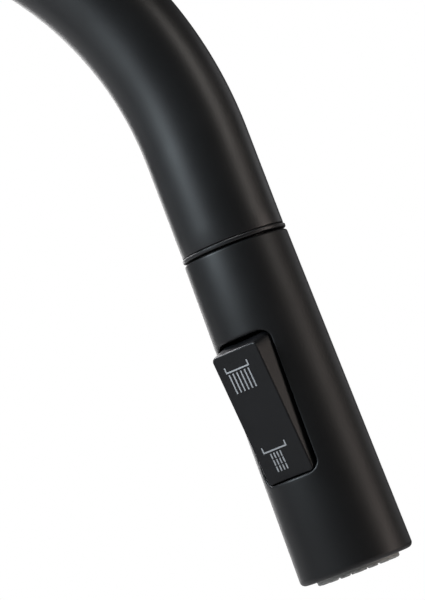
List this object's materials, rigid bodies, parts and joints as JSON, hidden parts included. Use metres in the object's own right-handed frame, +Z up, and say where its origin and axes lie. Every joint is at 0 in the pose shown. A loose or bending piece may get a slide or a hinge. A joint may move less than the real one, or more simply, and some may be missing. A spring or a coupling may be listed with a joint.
{
  "type": "pull-down kitchen faucet",
  "caption": "Single-hole kitchen faucet: curved swivelling neck, docked pull-down spray wand with a two-way rocker button, and a side lever mixer.",
  "frame": {"origin": "centre of the deck hole, on the deck's top face", "axes": "+Z up along the body and riser, +X along the spout at rest, +Y towards the side lever"},
  "size_m": [0.3084, 0.084, 0.502],
  "materials": {
    "body_black": "matte black powder coat, fine orange peel",
    "shell_black": "matte black, painted to match the neck",
    "button_black": "smooth satin black with light grey pictograms",
    "seal_rubber": "black moulded rubber",
    "brass": "machined yellow brass",
    "steel": "turned stainless steel",
    "index_chrome": "polished",
    "white_plastic": "natural acetal",
    "dark_plastic": "moulded black acetal",
    "ceramic": "lapped alumina",
    "nozzle_silicone": "matte grey silicone",
    "aerator_plastic": "grey moulded plastic",
    "hose_braid": "braided nylon over a plastic tube"
  },
  "bodies": {
    "base": {"deck_gasket": "seal_rubber", "base_ring": "body_black", "valve_body": "body_black", "shank": "brass", "inlet_block": "brass", "outlet_pipe": "steel", "outlet_seal": "seal_rubber", "hose_lower": "hose_braid", "hose_coupling": "brass", "neck_set_screw": "steel", "glide_ring_top": "dark_plastic", "glide_ring_bottom": "white_plastic", "base_seals": "seal_rubber", "cartridge_base": "white_plastic", "fixed_disc": "ceramic", "cartridge_housing": "white_plastic", "housing_o_ring": "seal_rubber", "retaining_nut": "brass", "bonnet": "body_black"},
    "deck_clamp": {"under_deck_gasket": "seal_rubber", "clamp_washer": "steel", "mounting_nut": "brass", "nut_screws": "steel"},
    "rotor": {"rotor": "dark_plastic", "stem_pin": "steel"},
    "disc": {"moving_disc": "ceramic", "disc_carrier": "dark_plastic"},
    "lever": {"stem": "brass", "handle_hub": "body_black", "lever_rod": "body_black", "handle_screw": "steel", "index_cap": "index_chrome"},
    "spout": {"neck_tube": "body_black", "neck_foot": "brass", "dock_bushing": "dark_plastic", "dock_collar": "body_black", "hose_upper": "hose_braid"},
    "hose_end": {"hose_spigot": "brass", "spigot_o_ring": "seal_rubber", "hose_ferrule": "steel", "hose_lead": "hose_braid"},
    "wand": {"wand_shell": "shell_black", "dock_plug": "dark_plastic", "inlet_filter": "steel", "hose_connector": "brass", "check_valve_body": "white_plastic", "check_spring": "steel", "waterway": "dark_plastic", "rocker_pin": "steel", "spray_body": "dark_plastic", "aerator_housing": "aerator_plastic", "aerator_screen": "steel", "nozzle_plate": "nozzle_silicone", "face_ring": "dark_plastic", "face_o_ring": "seal_rubber"},
    "check_valve": {"check_poppet": "brass"},
    "rocker": {"rocker_button": "button_black"},
    "diverter": {"diverter_spool": "white_plastic", "spool_seals": "seal_rubber"}
  },
  "joints": [
    {"name": "clamp_slide", "type": "slide", "parent": "base", "child": "deck_clamp", "axis": [0, 0, -1], "range_m": [0, 0.1]},
    {"name": "spout_swivel", "type": "hinge", "parent": "base", "child": "spout", "pos_m": [0, 0, 0.12], "axis": [0, 0, 1], "continuous": true},
    {"name": "lever_turn", "type": "hinge", "parent": "base", "child": "rotor", "pos_m": [0, 0.0345, 0.062], "axis": [0, 1, 0], "range_deg": [-40, 40]},
    {"name": "lever_tilt", "type": "hinge", "parent": "rotor", "child": "lever", "pos_m": [0, 0.0345, 0.062], "axis": [-1, 0, 0], "range_deg": [0, 22]},
    {"name": "disc_slide", "type": "slide", "parent": "rotor", "child": "disc", "axis": [0, 0, 1], "range_m": [0, 0.00365]},
    {"name": "wand_pull", "type": "slide", "parent": "spout", "child": "hose_end", "axis": [0.3584, 0, -0.9336], "range_m": [0, 0.35], "stiffness_N_per_m": 5, "springref_m": -0.8},
    {"name": "wand_swivel", "type": "hinge", "parent": "hose_end", "child": "wand", "pos_m": [0.23152, 0, 0.29271], "axis": [0.3584, 0, -0.9336], "continuous": true},
    {"name": "rocker_tilt", "type": "hinge", "parent": "wand", "child": "rocker", "pos_m": [0.2431, -0.00728, 0.24778], "axis": [-0.7553, 0.5878, -0.2899], "range_deg": [0, 13.4]},
    {"name": "diverter_slide", "type": "slide", "parent": "wand", "child": "diverter", "axis": [-0.5487, -0.809, -0.2106], "range_m": [0, 0.00372]},
    {"name": "check_slide", "type": "slide", "parent": "wand", "child": "check_valve", "axis": [0.3584, 0, -0.9336], "range_m": [0, 0.002], "stiffness_N_per_m": 150, "springref_m": -0.004, "deforming": ["check_spring"]}
  ],
  "couplings": [
    {"joint": "disc_slide", "follows": "lever_tilt", "m_per_rad": 0.0095},
    {"joint": "diverter_slide", "follows": "rocker_tilt", "m_per_rad": 0.0159}
  ]
}
